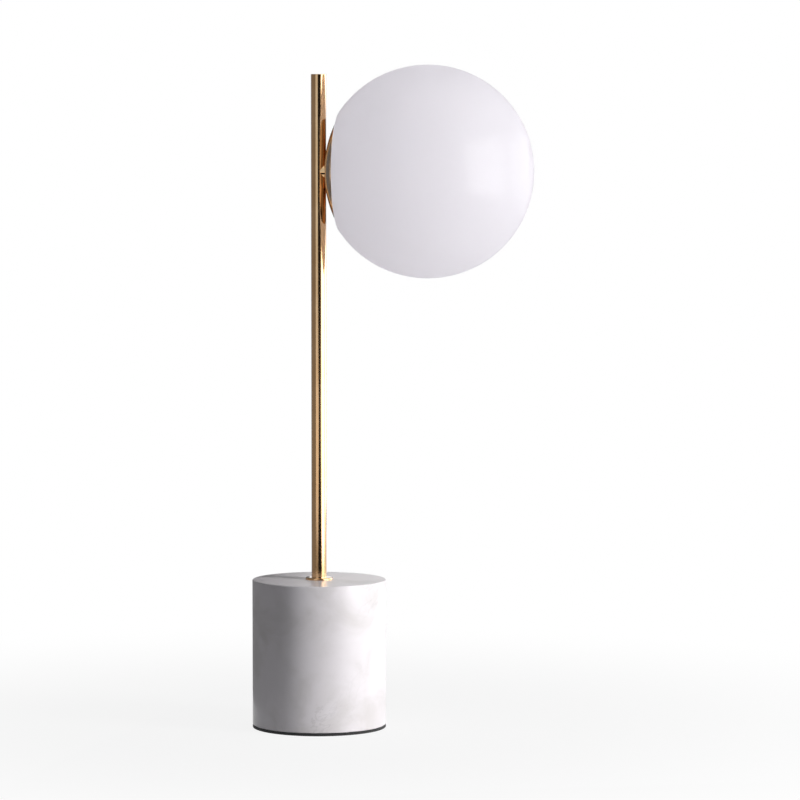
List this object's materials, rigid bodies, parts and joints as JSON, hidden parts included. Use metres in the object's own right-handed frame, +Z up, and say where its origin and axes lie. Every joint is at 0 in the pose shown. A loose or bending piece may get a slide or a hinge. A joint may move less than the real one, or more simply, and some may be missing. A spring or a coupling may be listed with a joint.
{
  "type": "table lamp",
  "caption": "Table lamp with an opal glass globe held sideways on a brass dish, on a slim brass post and a round marble base.",
  "frame": {"origin": "on the post's axis, at the underside of the base", "axes": "+Z up along the post, +X from the post towards the globe's centre, +Y to the back of the base"},
  "size_m": [0.2372, 0.178, 0.557],
  "materials": {
    "rubber_black": "matt black sheet",
    "marble": "polished white marble with faint grey veins",
    "black_plastic": "moulded, satin",
    "white_plastic": "moulded, satin",
    "brown_wire": "extruded insulation",
    "blue_wire": "extruded insulation",
    "zinc_steel": "zinc plated",
    "spring_steel": "tempered strip",
    "polished_brass": "lacquered antique brass, polished",
    "plain_brass": "turned, unfinished",
    "silicone": "translucent white ring",
    "holder_moulding": "black phenolic moulding",
    "ceramic": "unglazed",
    "opal_glass": "glossy opal white, not lit",
    "tin_contact": "tinned",
    "bulb_metal": "rolled screw cap",
    "frosted_dome": "frosted, not lit"
  },
  "bodies": {
    "stand": {"base_pad": "rubber_black", "marble_base": "marble", "cord_gland": "black_plastic", "pipe_washer": "zinc_steel", "pipe_lock_washer": "zinc_steel", "pipe_nut": "zinc_steel", "threaded_pipe": "zinc_steel", "terminal_block": "white_plastic", "lead_live": "brown_wire", "lead_neutral": "blue_wire", "post_collar": "polished_brass", "post_foot_bush": "plain_brass", "post_tube": "polished_brass", "post_top_plug": "polished_brass", "arm_anchor": "plain_brass", "arm_neck": "polished_brass", "arm_nipple": "plain_brass", "dish": "polished_brass", "seat_ring": "silicone", "clip_pan": "zinc_steel", "globe_clip_1": "spring_steel", "globe_clip_2": "spring_steel", "globe_clip_3": "spring_steel", "clip_rivets": "zinc_steel", "arm_lock_washer": "zinc_steel", "arm_nut": "zinc_steel", "holder_cap": "holder_moulding", "holder_skirt": "holder_moulding", "holder_core": "ceramic", "holder_terminals": "plain_brass", "holder_shell": "plain_brass", "holder_contact": "plain_brass"},
    "globe": {"globe_glass": "opal_glass"},
    "bulb_tip": {"bulb_contact": "tin_contact"},
    "bulb": {"bulb_insulator": "black_plastic", "bulb_cap": "bulb_metal", "bulb_housing": "white_plastic", "bulb_dome": "frosted_dome"}
  },
  "joints": [
    {"name": "globe_pull_off", "type": "slide", "parent": "stand", "child": "globe", "axis": [1, 0, 0], "range_m": [0, 0.13]},
    {"name": "bulb_advance", "type": "slide", "parent": "stand", "child": "bulb_tip", "axis": [1, 0, 0], "range_m": [0, 0.0185]},
    {"name": "bulb_unscrew", "type": "hinge", "parent": "bulb_tip", "child": "bulb", "pos_m": [0, 0, 0.468], "axis": [1, 0, 0], "range_deg": [0, 1800]}
  ],
  "couplings": [
    {"joint": "bulb_advance", "follows": "bulb_unscrew", "m_per_rad": 0.00057757}
  ]
}
